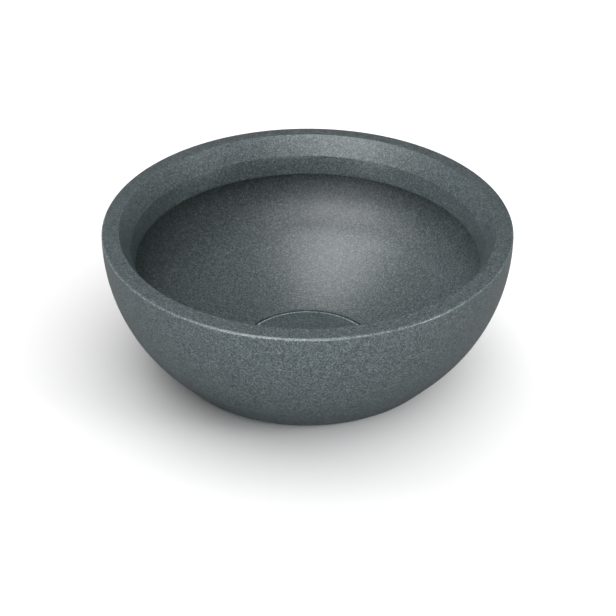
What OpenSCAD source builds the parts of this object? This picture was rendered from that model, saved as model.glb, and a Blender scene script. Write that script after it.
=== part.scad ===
// Round bowl planter with a folded-in rim, a raised floor and a pull-out drain plug.
// Origin: centre of the foot, on the ground. +Z points up through the mouth. Millimetres.

/* [Bowl] */
// Widest outside diameter, at the rim edge
rim_diameter = 480; // [440:5:560]
// Overall height, up to the inner edge of the rim's top face
bowl_height = 173; // [155:1:195]
// Radius of the outside curve, seen in section
side_radius = 207; // [190:1:240]
// Height of the straight flank under that curve, down to the foot
flank_height = 27; // [15:1:40]
// Wall thickness of the moulding
wall = 4; // [3:0.5:6]
// Height at which the inside wall leaves the outside curve and turns towards the floor
dish_start = 90; // [75:1:105]
// Radius of the turn from the wall into the dish
turn_radius = 80; // [50:5:110]
// Radius of the dish, from that turn down to the raised disc
dish_radius = 480; // [360:10:700]

/* [Foot] */
// Width of the ring that the bowl stands on
foot_width = 10; // [7:1:14]
// Rounding of the foot's outer corner
heel_rounding = 12; // [2:1:14]
// Rounding of the corner between the foot ring and the underside of the dish
hollow_rounding = 4; // [2:1:6]

/* [Rim] */
// Width of the rim's top face, from the rim edge to the mouth
rim_width = 20; // [14:0.5:26]
// Rise of the top face over that width
rim_rise = 2; // [0:0.5:5]
// Rounding of the outer rim edge
rim_rounding = 3; // [1:0.5:4]
// Drop of the upper band inside the mouth
upper_band_drop = 22.5; // [14:0.5:32]
// Inward step of the upper band
upper_band_inset = 13.5; // [8:0.5:18]
// Drop of the lower band, down to the lip's cut edge
lower_band_drop = 23.5; // [14:0.5:32]
// Inward step of the lower band
lower_band_inset = 5; // [2:0.5:8]
// Rounding of the edges between the top face and the two bands
band_rounding = 1.5; // [0.5:0.5:3]
// Small bevel on the lip's cut edge
lip_bevel = 0.6; // [0.2:0.1:1.2]

/* [Raised floor] */
// Diameter of the raised disc in the middle of the floor
disc_diameter = 154; // [110:2:164]
// Height of the disc above the floor around it
disc_rise = 3; // [2:0.5:6]
// Rounding of the disc's edge
disc_rounding = 1; // [0.5:0.25:1.5]
// Slope outwards of the disc's side
disc_draft = 1.5; // [0.5:0.5:3]

/* [Drain plug] */
// Diameter of the drain hole in the middle of the disc
drain_diameter = 20; // [14:1:26]
// Radial clearance of the plug's stem in the drain hole
stem_clearance = 0.1; // [0.05:0.05:0.1]
// Wall of the plug's hollow stem
stem_wall = 2.5; // [1.5:0.5:4]
// Height of the stem's end above the ground
stem_lift = 0.8; // [0.5:0.1:1.5]
// Overlap of the plug's head round the drain hole
head_overlap = 8; // [5:0.5:12]
// Thickness of the plug's head
head_thickness = 2.5; // [2:0.5:4]
// Rounding of the head's top edge
head_rounding = 1; // [0.5:0.25:1.5]
// Width of the grip on the head
grip_width = 24; // [16:1:28]
// Height of the grip above the head
grip_height = 6; // [4:0.5:8]
// Thickness of the grip
grip_thickness = 4; // [3:0.5:6]
// Rounding of the grip's upper corners
grip_rounding = 3; // [1:0.5:3.5]

/* [Seal] */
// Thickness of the sealing ring under the plug's head
seal_thickness = 2; // [1.5:0.25:3]
// Width of the sealing ring, from its hole to its rounded edge
seal_width = 6; // [3:0.5:7]
// Gap round the stem inside the sealing ring
seal_clearance = 0.05; // [0.05:0.05:0.2]
// Rounding of the sealing ring's outer edges
seal_rounding = 0.6; // [0.2:0.1:0.7]
// Gap left between the sealing ring and the floor disc
seat_gap = 0.3; // [0.2:0.05:0.5]

/* [Hidden] */
$fn = 96;

// Degrees turned by each straight piece of the side, the turn, the dish and a rounded corner, in section
side_step = 2.5;
turn_step = 4;
dish_step = 1;
corner_step = 15;

// Rim edge, mouth edge, edge between the bands and lip edge in section, as [radius, height]
rim_r = rim_diameter / 2;
rim_z = bowl_height - rim_rise;
rim_edge = [rim_r, rim_z];
mouth_edge = rim_edge + [-rim_width, rim_rise];
band_edge = mouth_edge + [-upper_band_inset, -upper_band_drop];
lip_edge = band_edge + [-lower_band_inset, -lower_band_drop];

// Outside curve: upright where the rim's rounding starts, tangent to the straight flank below
rim_tilt = atan(rim_rise / rim_width);
side_top_z = rim_z - rim_rounding / tan((90 + rim_tilt) / 2);
side_centre = [rim_r - side_radius, side_top_z];
flank_angle = -asin((side_top_z - flank_height) / side_radius);
flank_top = side_centre + side_radius * [cos(flank_angle), sin(flank_angle)];
foot_r = flank_top[0] + flank_height * tan(flank_angle);

// Inside curve: one wall inside the outside curve, then the turn, then the dish down to the raised disc
disc_r = disc_diameter / 2;
disc_z = wall + disc_rise;
disc_base = [disc_r + disc_draft, wall];
inside_radius = side_radius - wall;
turn_start = -asin((side_top_z - dish_start) / inside_radius);
turn_centre = side_centre + (inside_radius - turn_radius) * [cos(turn_start), sin(turn_start)];

// The dish passes through the disc's base and is tangent to the turn: a triangle with three known sides
base_to_turn = norm(turn_centre - disc_base);
dish_lean = acos(
    (pow(dish_radius, 2) + pow(base_to_turn, 2) - pow(dish_radius - turn_radius, 2))
    / (2 * dish_radius * base_to_turn)
);
dish_top_angle = angle_of(turn_centre - disc_base) + dish_lean;
dish_centre = disc_base + dish_radius * [cos(dish_top_angle), sin(dish_top_angle)];
dish_start_angle = dish_top_angle - 180;
dish_end_angle = angle_of(turn_centre - dish_centre);

// Underside: one wall below the disc and the dish, between an inner ring and the foot ring
recess_r = disc_r - wall;
ring_r = foot_r - foot_width;
under_radius = dish_radius + wall;
under_start_angle = -asin(dish_centre[1] / under_radius);
under_end_angle = -acos((ring_r - dish_centre[0]) / under_radius);

// Plug and seal, stacked on the disc
drain_r = drain_diameter / 2;
stem_r = drain_r - stem_clearance;
stem_bore_r = stem_r - stem_wall;
stem_bevel = stem_wall / 3;
seal_z = disc_z + seat_gap;
seal_inner_r = stem_r + seal_clearance;
seal_outer_r = seal_inner_r + seal_width;
head_r = drain_r + head_overlap;
head_z = seal_z + seal_thickness;
grip_z = head_z + head_thickness;

function unit(v) = v / norm(v);
function angle_of(v) = atan2(v[1], v[0]);
function cross_z(a, b) = a[0] * b[1] - a[1] * b[0];

// Points on an arc about a centre, from one angle to another
function arc_points(centre, radius, from, to, step) =
    let (n = max(1, ceil(abs(to - from) / step)))
    [for (i = [0:n]) let (a = from + (to - from) * i / n) centre + radius * [cos(a), sin(a)]];

// Arc that rounds the corner b of the path a, b, c
function rounded(a, b, c, radius) =
    let (
        u = unit(a - b),
        v = unit(c - b),
        half = acos(u * v) / 2,
        centre = b + unit(u + v) * radius / sin(half),
        spoke = b + u * radius / tan(half) - centre,
        start = angle_of(spoke),
        sweep = (180 - 2 * half) * (cross_z(u, v) < 0 ? 1 : -1)
    )
    arc_points(centre, radius, start, start + sweep, corner_step);

// Left-hand side of the direction from a to b
function left_of(a, b) = let (u = unit(b - a)) [-u[1], u[0]];

// Corner b of the path a, b, c on the parallel path at a distance to its left
function beside(a, b, c, distance) =
    let (m = left_of(a, b), n = left_of(b, c))
    b + distance * (m + n) / (1 + m * n);

// Outline without the points that repeat the one before
function distinct(points) =
    [for (i = [0:len(points) - 1]) if (i == 0 || norm(points[i] - points[i - 1]) > 0.01) points[i]];

// Section of the moulding: from the drain hole out under the disc and the dish, round the foot ring, up the side,
// over the rim, down the lip, and back along the inside to the raised disc
function shell_outline() =
    let (
        lip_back = lip_edge + wall * left_of(band_edge, lip_edge),
        band_back = beside(mouth_edge, band_edge, lip_edge, wall),
        mouth_back = beside(rim_edge, mouth_edge, band_edge, wall),
        under_rim_z = mouth_back[1] - (rim_r - wall - mouth_back[0]) * tan(rim_tilt),
        under_rim_angle = asin((under_rim_z - side_top_z) / inside_radius),
        underside = arc_points(dish_centre, under_radius, under_start_angle, under_end_angle, dish_step),
        hollow_corner = underside[len(underside) - 1],
        hollow_end = len(underside) - 3
    )
    distinct(concat(
        [[drain_r, disc_rise]],
        rounded([drain_r, disc_rise], [recess_r, disc_rise], [recess_r, 0], disc_rounding),
        [[recess_r, 0]],
        [for (i = [0:hollow_end]) underside[i]],
        rounded(underside[hollow_end], hollow_corner, [ring_r, 0], hollow_rounding),
        [[ring_r, 0]],
        rounded([ring_r, 0], [foot_r, 0], flank_top, heel_rounding),
        arc_points(side_centre, side_radius, flank_angle, 0, side_step),
        rounded([rim_r, 0], rim_edge, mouth_edge, rim_rounding),
        rounded(rim_edge, mouth_edge, band_edge, band_rounding),
        rounded(mouth_edge, band_edge, lip_edge, band_rounding),
        [
            lip_edge + lip_bevel * unit(band_edge - lip_edge),
            lip_edge + lip_bevel * unit(lip_back - lip_edge),
            lip_back,
            band_back,
            mouth_back
        ],
        arc_points(side_centre, inside_radius, under_rim_angle, turn_start, side_step),
        arc_points(turn_centre, turn_radius, turn_start, dish_end_angle, turn_step),
        arc_points(dish_centre, dish_radius, dish_end_angle, dish_start_angle, dish_step),
        rounded(disc_base, [disc_r, disc_z], [drain_r, disc_z], disc_rounding),
        [[drain_r, disc_z]]
    ));

// One moulding: bowl, folded-in rim and raised floor, with the drain hole cut through
module bowl_shell() {
    color("#626b6e")
        rotate_extrude()
            polygon(shell_outline());
}

// Stopper with a hollow stem, a flat head and an upright grip for finger and thumb
module drain_plug() {
    head_outline = concat(
        [
            [0, head_z],
            [stem_bore_r, head_z],
            [stem_bore_r, stem_lift],
            [stem_r - stem_bevel, stem_lift],
            [stem_r, stem_lift + stem_bevel],
            [stem_r, head_z],
            [head_r, head_z]
        ],
        rounded([head_r, head_z], [head_r, grip_z], [0, grip_z], head_rounding),
        [[0, grip_z]]
    );
    grip_half = grip_width / 2;
    grip_outline = concat(
        [[-grip_half, -head_thickness / 2], [grip_half, -head_thickness / 2]],
        rounded([grip_half, 0], [grip_half, grip_height], [-grip_half, grip_height], grip_rounding),
        rounded([grip_half, grip_height], [-grip_half, grip_height], [-grip_half, 0], grip_rounding)
    );
    color("#33383a") {
        rotate_extrude()
            polygon(head_outline);
        translate([0, grip_thickness / 2, grip_z])
            rotate([90, 0, 0])
                linear_extrude(grip_thickness)
                    polygon(grip_outline);
    }
}

// Flat ring round the stem, pressed between the head and the floor disc
module plug_seal() {
    inner = seal_inner_r;
    outer = seal_outer_r;
    color("#1c1d1e")
        rotate_extrude()
            polygon(concat(
                [[inner, head_z], [inner, seal_z]],
                rounded([inner, seal_z], [outer, seal_z], [outer, head_z], seal_rounding),
                rounded([outer, seal_z], [outer, head_z], [inner, head_z], seal_rounding)
            ));
}

bowl_shell();
drain_plug();
plug_seal();
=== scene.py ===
import math

import bmesh
import bpy
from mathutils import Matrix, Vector


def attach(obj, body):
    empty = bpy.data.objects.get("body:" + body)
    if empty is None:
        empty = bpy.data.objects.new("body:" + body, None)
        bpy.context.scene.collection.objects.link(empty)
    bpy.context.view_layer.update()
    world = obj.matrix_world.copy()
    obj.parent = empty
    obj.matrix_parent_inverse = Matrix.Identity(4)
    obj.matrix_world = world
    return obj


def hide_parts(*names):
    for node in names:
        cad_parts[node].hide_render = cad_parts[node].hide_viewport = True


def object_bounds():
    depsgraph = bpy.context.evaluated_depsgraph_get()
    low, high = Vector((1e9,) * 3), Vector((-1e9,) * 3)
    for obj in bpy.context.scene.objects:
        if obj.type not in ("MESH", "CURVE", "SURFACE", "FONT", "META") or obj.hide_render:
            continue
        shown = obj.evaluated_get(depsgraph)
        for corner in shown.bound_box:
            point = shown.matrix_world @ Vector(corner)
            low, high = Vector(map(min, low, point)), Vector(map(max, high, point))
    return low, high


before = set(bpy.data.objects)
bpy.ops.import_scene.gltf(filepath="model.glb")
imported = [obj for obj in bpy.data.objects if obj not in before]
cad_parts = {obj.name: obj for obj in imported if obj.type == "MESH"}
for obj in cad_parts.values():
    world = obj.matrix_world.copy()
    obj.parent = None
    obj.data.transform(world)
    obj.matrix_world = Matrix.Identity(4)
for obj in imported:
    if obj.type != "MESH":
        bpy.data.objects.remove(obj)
cadLow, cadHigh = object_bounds()
scene = bpy.context.scene
rimRadius = (cadHigh.x - cadLow.x) / 2
bowlHeight = cadHigh.z - cadLow.z


def mm(length):
    return length / 1000


def hexColour(code):
    # sRGB hex to the linear values that a shader works in
    channels = [int(code[i:i + 2], 16) / 255 for i in (1, 3, 5)]
    return [c / 12.92 if c <= 0.04045 else ((c + 0.055) / 1.055) ** 2.4 for c in channels] + [1]


def addNode(tree, kind, inputs=None, **settings):
    # One node with its settings; an input is a value, or the output socket that feeds it
    made = tree.nodes.new(kind)
    for name, value in settings.items():
        setattr(made, name, value)
    for socket, value in (inputs or {}).items():
        if isinstance(value, bpy.types.NodeSocket):
            tree.links.new(value, made.inputs[socket])
        else:
            made.inputs[socket].default_value = value
    return made


def newMaterial(name):
    material = bpy.data.materials.new(name)
    material.use_nodes = True
    material.node_tree.nodes.clear()
    return material, material.node_tree


def newPiece(name, mesh, material, body):
    piece = bpy.data.objects.new(name, mesh)
    scene.collection.objects.link(piece)
    mesh.materials.append(material)
    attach(piece, body)
    return piece


# Rotomoulded polyethylene with a granite effect: dark and pale grains melted into slate grey, under a
# satin skin with the fine orange-peel of the mould. The rim's rounded edge and the disc's edge are painted
# paler as a painted highlight and mirror more there; the crease round the disc is painted darker as painted shade
graniteLook = {
    "tones": {0.2: "#182326", 0.4: "#465154", 0.6: "#667174", 0.8: "#949fa2"},  # along the speckle's range
    "grainSize": mm(1.7),
    "grainDetail": 3.0,
    "grainRoughness": 0.65,
    "fleckSize": mm(1.3),
    "fleckShare": 0.3,
    "roughness": 0.35,
    "specular": 1.0,
    "peelHeight": mm(0.02),
    # Each ring has a radius, a height, a reach, and how much paler than the rest and more mirroring it is; a
    # paler ring is a painted highlight, a darker one is painted shade
    "rings": {
        # Painted highlight: a paler, more mirroring line along the rim's rounded edge
        "rimEdge": {
            "radius": rimRadius - mm(0.8), "height": bowlHeight - mm(2.8), "reach": mm(1.4),
            "paler": 0.5, "mirror": 0.1,
        },
        # Painted highlight: a paler, more mirroring line along the disc's rounded edge
        "discEdge": {"radius": mm(76), "height": mm(6.8), "reach": mm(2), "paler": 2.1, "mirror": 0.5},
        # Painted shade: a darker, less mirroring line in the crease round the disc
        "discCrease": {"radius": mm(80.5), "height": mm(5), "reach": mm(2), "paler": -0.5, "mirror": -0.6},
    },
}


def graniteMaterial(look):
    material, tree = newMaterial("graniteEffectPolyethylene")
    place = addNode(tree, "ShaderNodeTexCoord").outputs["Object"]

    # Melted grains under small sharp flecks
    grains = addNode(
        tree, "ShaderNodeTexNoise",
        {
            "Vector": place,
            "Scale": 1 / look["grainSize"],
            "Detail": look["grainDetail"],
            "Roughness": look["grainRoughness"],
        },
    )
    flecks = addNode(tree, "ShaderNodeTexVoronoi", {"Vector": place, "Scale": 1 / look["fleckSize"]})
    fleckTone = addNode(tree, "ShaderNodeSeparateColor", {"Color": flecks.outputs["Color"]})
    speckle = addNode(
        tree, "ShaderNodeMix",
        {"Factor": look["fleckShare"], "A": grains.outputs["Fac"], "B": fleckTone.outputs["Red"]},
        data_type="FLOAT",
    )
    tones = addNode(tree, "ShaderNodeValToRGB", {"Fac": speckle.outputs["Result"]})
    stops = tones.color_ramp.elements
    while len(stops) < len(look["tones"]):
        stops.new(0.5)
    for stop, (position, code) in zip(stops, look["tones"].items()):
        stop.position, stop.color = position, hexColour(code)

    # Radius and height of the point, then what each ring within reach adds to tone and mirror: painted highlight
    # on the edges, painted shade in the crease
    outwards = addNode(tree, "ShaderNodeVectorMath", {0: place, 1: (1, 1, 0)}, operation="MULTIPLY")
    radius = addNode(tree, "ShaderNodeVectorMath", {0: outwards.outputs["Vector"]}, operation="LENGTH")
    height = addNode(tree, "ShaderNodeSeparateXYZ", {"Vector": place})
    section = addNode(tree, "ShaderNodeCombineXYZ", {"X": radius.outputs["Value"], "Y": height.outputs["Z"]})
    tone, mirror = 1.0, look["specular"]
    for ring in look["rings"].values():
        distance = addNode(
            tree, "ShaderNodeVectorMath",
            {0: section.outputs["Vector"], 1: (ring["radius"], ring["height"], 0)}, operation="DISTANCE",
        )
        near = addNode(
            tree, "ShaderNodeMapRange",
            {"Value": distance.outputs["Value"], "From Min": ring["reach"], "From Max": ring["reach"] / 2},
            interpolation_type="SMOOTHSTEP",
        ).outputs["Result"]
        tone = addNode(
            tree, "ShaderNodeMath", {0: near, 1: ring["paler"], 2: tone}, operation="MULTIPLY_ADD",
        ).outputs["Value"]
        mirror = addNode(
            tree, "ShaderNodeMath", {0: near, 1: ring["mirror"], 2: mirror}, operation="MULTIPLY_ADD",
        ).outputs["Value"]
    # The speckle's colour with the rings' painted highlight and painted shade
    toneWithPaintedLight = addNode(
        tree, "ShaderNodeVectorMath", {0: tones.outputs["Color"], "Scale": tone}, operation="SCALE",
    )

    peel = addNode(tree, "ShaderNodeBump", {"Height": grains.outputs["Fac"], "Distance": look["peelHeight"]})
    shader = addNode(
        tree, "ShaderNodeBsdfPrincipled",
        {
            "Base Color": toneWithPaintedLight.outputs["Vector"],
            "Roughness": look["roughness"],
            "Specular IOR Level": mirror,
            "Normal": peel.outputs["Normal"],
        },
    )
    addNode(tree, "ShaderNodeOutputMaterial", {"Surface": shader.outputs["BSDF"]})
    return material


# The moulding is spun again from the frame's own section, in finer steps and with soft edges
shellBuild = {
    "node": "bowl_shell",
    "steps": 128,
    "arcChord": mm(9.5),  # the section's curves are drawn in chords up to this long
    "longestFlat": mm(5),  # its flats, longer than that, are cut near this so that subdivision keeps them
    "weld": mm(0.005),
    "cutTolerance": mm(0.001),
}


def shellPiece(build, material):
    # Half of the section in the plane y = 0
    bm = bmesh.new()
    bm.from_mesh(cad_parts[build["node"]].data)
    bmesh.ops.remove_doubles(bm, verts=bm.verts, dist=build["weld"])
    bmesh.ops.bisect_plane(
        bm, geom=bm.verts[:] + bm.edges[:] + bm.faces[:], dist=build["cutTolerance"],
        plane_co=(0, 0, 0), plane_no=(0, 1, 0), clear_inner=True, clear_outer=True,
    )
    bmesh.ops.delete(bm, geom=[v for v in bm.verts if v.co.x < 0], context="VERTS")
    print("section of the shell:", len(bm.verts), "points,", len(bm.edges), "edges")

    flats = [e for e in bm.edges if e.calc_length() > build["arcChord"]]
    for edge in flats:
        cuts = int(edge.calc_length() / build["longestFlat"])
        bmesh.ops.subdivide_edges(bm, edges=[edge], cuts=cuts)
    bmesh.ops.spin(
        bm, geom=bm.verts[:] + bm.edges[:], cent=(0, 0, 0), axis=(0, 0, 1), dvec=(0, 0, 0),
        angle=math.tau, steps=build["steps"], use_merge=True, use_duplicate=False,
    )
    bmesh.ops.remove_doubles(bm, verts=bm.verts, dist=build["weld"])
    bmesh.ops.recalc_face_normals(bm, faces=bm.faces)
    for face in bm.faces:
        face.smooth = True
    mesh = bpy.data.meshes.new("bowlShell")
    bm.to_mesh(mesh)
    bm.free()

    piece = newPiece("bowlShell", mesh, material, "bowl")
    finer = piece.modifiers.new("finer", "SUBSURF")
    finer.levels = finer.render_levels = 1
    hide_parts(build["node"])


granite = graniteMaterial(graniteLook)
shellPiece(shellBuild, granite)
print("shell made")

# The plug and its seal keep the frame's own meshes. The plug is injection-moulded polyethylene, satin-matt
# from the texture of its mould. The seal is moulded rubber, dull and almost black
plugLook = {
    "colour": "#2e3234",
    "roughness": 0.55,
    "grainSize": mm(0.8),
    "grainDetail": 3.0,
    "grainHeight": mm(0.03),
}
sealLook = {
    "colour": "#161617",
    "roughness": 0.8,
    "grainSize": mm(0.5),
    "grainDetail": 3.0,
    "grainHeight": mm(0.03),
}


def plainMaterial(name, look):
    material, tree = newMaterial(name)
    place = addNode(tree, "ShaderNodeTexCoord").outputs["Object"]
    grain = addNode(
        tree, "ShaderNodeTexNoise",
        {"Vector": place, "Scale": 1 / look["grainSize"], "Detail": look["grainDetail"]},
    )
    bump = addNode(tree, "ShaderNodeBump", {"Height": grain.outputs["Fac"], "Distance": look["grainHeight"]})
    shader = addNode(
        tree, "ShaderNodeBsdfPrincipled",
        {
            "Base Color": hexColour(look["colour"]),
            "Roughness": look["roughness"],
            "Normal": bump.outputs["Normal"],
        },
    )
    addNode(tree, "ShaderNodeOutputMaterial", {"Surface": shader.outputs["BSDF"]})
    return material


def dress(node, material):
    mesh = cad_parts[node].data
    mesh.materials.clear()
    mesh.materials.append(material)


dress("drain_plug", plainMaterial("mouldedPolyethylene", plugLook))
dress("plug_seal", plainMaterial("blackRubber", sealLook))
print("plug and seal dressed")

# White studio floor under an even world. The bowl sees a greyer floor and a dimmer world than the camera
# does, so that the white ground lights it no more than a plain one would. Nothing here is metal or glass,
# so its mirrored light keeps that plain level too
stageLook = {
    "floorSize": 12.0,
    "floorColour": "#e6e6e6",
    "floorColourForBowl": "#6b6b6b",
    "floorRoughness": 0.5,
    "worldStrength": 1.0,
    "worldStrengthForBowl": 0.149,
}


def makeFloor(look):
    bpy.ops.mesh.primitive_plane_add(size=look["floorSize"], location=(0, 0, 0))
    floor = bpy.context.object
    floor.name = "studioFloor"
    material, tree = newMaterial("studioFloorWhite")
    rays = addNode(tree, "ShaderNodeLightPath")
    # The Mix node's colours go in at 6 and 7 and come out at 2
    colour = addNode(
        tree, "ShaderNodeMix",
        {
            "Factor": rays.outputs["Is Camera Ray"],
            6: hexColour(look["floorColourForBowl"]),
            7: hexColour(look["floorColour"]),
        },
        data_type="RGBA",
    )
    shader = addNode(
        tree, "ShaderNodeBsdfPrincipled",
        {"Base Color": colour.outputs[2], "Roughness": look["floorRoughness"]},
    )
    addNode(tree, "ShaderNodeOutputMaterial", {"Surface": shader.outputs["BSDF"]})
    floor.data.materials.append(material)
    return floor


def makeWorld(look):
    world = bpy.data.worlds.new("studioWorld")
    scene.world = world
    world.use_nodes = True
    tree = world.node_tree
    tree.nodes.clear()
    rays = addNode(tree, "ShaderNodeLightPath")
    strength = addNode(
        tree, "ShaderNodeMix",
        {
            "Factor": rays.outputs["Is Camera Ray"],
            "A": look["worldStrengthForBowl"],
            "B": look["worldStrength"],
        },
        data_type="FLOAT",
    )
    light = addNode(tree, "ShaderNodeBackground", {"Color": (1, 1, 1, 1), "Strength": strength.outputs["Result"]})
    addNode(tree, "ShaderNodeOutputWorld", {"Surface": light.outputs["Background"]})


# Wide soft lamps: where each stands, seen from the bowl (azimuth from the front, + to the right), how
# wide it looks in degrees, and the brightness that it gives a white card turned to face it. The first
# set lights the bowl. The second lights the floor alone, to put its shadow where the photograph has it
bowlLamps = {
    "keyBox": {"azimuth": -26, "elevation": 50, "width": 84, "brightness": 0.359},
    "keyBoxCore": {"azimuth": -26, "elevation": 46, "width": 42, "brightness": 0.218},
    "overheadBox": {"azimuth": -121, "elevation": 79, "width": 30, "brightness": 0.224},
    "rightLowBox": {"azimuth": 66, "elevation": 3, "width": 10, "brightness": 0.278},
    "leftLowBox": {"azimuth": -40, "elevation": 3, "width": 10, "brightness": 0.248},
    "frontLowBox": {"azimuth": 8, "elevation": 2, "width": 5, "brightness": 0.237},
}
floorLamps = {
    "floorOverheadBox": {"azimuth": 90, "elevation": 60, "width": 120, "brightness": 1.325},
    "floorBackBox": {"azimuth": 225, "elevation": 30, "width": 60, "brightness": 0.468},
    "floorSideBox": {"azimuth": 67, "elevation": 27, "width": 22, "brightness": 0.217},
}


def makeLamps(lamps, floor, lightsFloor):
    # The receiver collection holds the floor: a lamp lights it alone, or all but it
    lit = bpy.data.collections.new("litByFloorLamps" if lightsFloor else "litByBowlLamps")
    lit.objects.link(floor)
    lit.collection_objects[0].light_linking.link_state = "INCLUDE" if lightsFloor else "EXCLUDE"
    for name, spec in lamps.items():
        azimuth, elevation = math.radians(spec["azimuth"]), math.radians(spec["elevation"])
        away = Vector((
            math.sin(azimuth) * math.cos(elevation),
            -math.cos(azimuth) * math.cos(elevation),
            math.sin(elevation),
        ))
        lamp = bpy.data.lights.new(name, "SUN")
        lamp.angle = math.radians(spec["width"])
        lamp.energy = spec["brightness"] * math.pi
        holder = bpy.data.objects.new(name, lamp)
        holder.rotation_euler = away.to_track_quat("Z", "Y").to_euler()
        holder.light_linking.receiver_collection = lit
        scene.collection.objects.link(holder)


# The photograph's own view: a long lens, far off and 32 degrees above the rim
cameraSet = {
    "elevation": 32.36,
    "distanceInRims": 15.0,  # rim radii from the aim to the camera
    "aimHeightInRims": 0.2511,
    "axisPixelsLeftOfCentre": 0.45,
    "focalPixels": 3038.0,
    "pictureWidth": 616,
    "sensorWidth": 36.0,
    "nearest": 0.1,
    "farthest": 100,
}


def makeCamera(view):
    elevation = math.radians(view["elevation"])
    reach = view["distanceInRims"] * rimRadius
    aside = view["axisPixelsLeftOfCentre"] * reach / view["focalPixels"]
    aim = Vector((aside, 0, view["aimHeightInRims"] * rimRadius))
    data = bpy.data.cameras.new("photoView")
    data.sensor_width = view["sensorWidth"]
    data.lens = view["focalPixels"] / view["pictureWidth"] * view["sensorWidth"]
    data.clip_start, data.clip_end = view["nearest"], view["farthest"]
    camera = bpy.data.objects.new("photoView", data)
    camera.location = aim + reach * Vector((0, -math.cos(elevation), math.sin(elevation)))
    camera.rotation_euler = (math.pi / 2 - elevation, 0, 0)
    scene.collection.objects.link(camera)
    scene.camera = camera


studioFloor = makeFloor(stageLook)
makeWorld(stageLook)
makeLamps(bowlLamps, studioFloor, lightsFloor=False)
makeLamps(floorLamps, studioFloor, lightsFloor=True)
makeCamera(cameraSet)
scene.view_settings.view_transform = "Standard"
print("stage, lamps and camera set")
